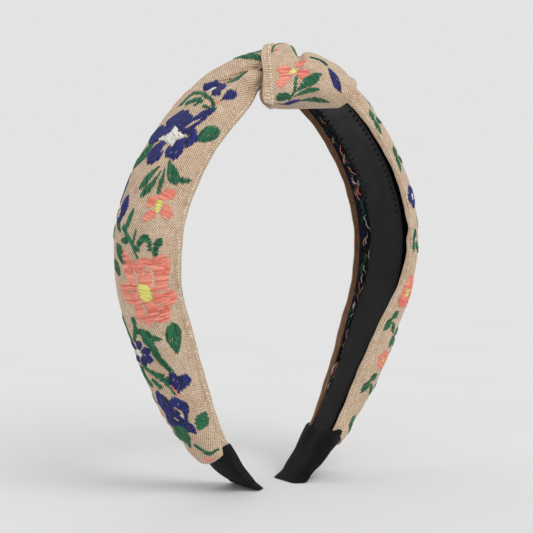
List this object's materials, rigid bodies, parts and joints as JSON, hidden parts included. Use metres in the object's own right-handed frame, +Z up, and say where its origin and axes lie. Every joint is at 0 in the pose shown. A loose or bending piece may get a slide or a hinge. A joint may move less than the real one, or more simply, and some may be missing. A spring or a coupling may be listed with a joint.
{
  "type": "knotted headband",
  "caption": "Padded headband covered in flowered woven ribbon, with a ribbon knot at the crown, a springy toothed plastic hoop inside and black ribbed cloth tips.",
  "frame": {"origin": "on the surface that the tips stand on, midway between the two tips and midway between the front and back edges", "axes": "+Z up from the tips to the knot, +X from the left tip to the right tip, -Y towards the front edge"},
  "size_m": [0.1482, 0.043, 0.1777],
  "materials": {
    "plastic": "satin black",
    "ribbon": "woven tan ribbon with embroidered flowers",
    "hem": "turned and stitched edge of the ribbon",
    "foam": "soft foam padding, hidden",
    "sleeve": "black ribbed cloth"
  },
  "bodies": {
    "crown": {"hoop_crown": "plastic", "knot_core": "ribbon", "knot_wrap": "ribbon"},
    "left_leg": {"left_hoop": "plastic", "left_padding": "foam", "left_cover": "ribbon", "left_front_hem": "hem", "left_back_hem": "hem", "left_tip_sleeve": "sleeve"},
    "right_leg": {"right_hoop": "plastic", "right_padding": "foam", "right_cover": "ribbon", "right_front_hem": "hem", "right_back_hem": "hem", "right_tip_sleeve": "sleeve"}
  },
  "joints": [
    {"name": "right_leg_flex", "type": "hinge", "parent": "crown", "child": "right_leg", "pos_m": [0.02704, 0, 0.15669], "axis": [0, -1, 0], "range_deg": [0, 14], "stiffness_Nm_per_rad": 2.2},
    {"name": "left_leg_flex", "type": "hinge", "parent": "crown", "child": "left_leg", "pos_m": [-0.02704, 0, 0.15669], "axis": [0, 1, 0], "range_deg": [0, 14], "stiffness_Nm_per_rad": 2.2}
  ]
}
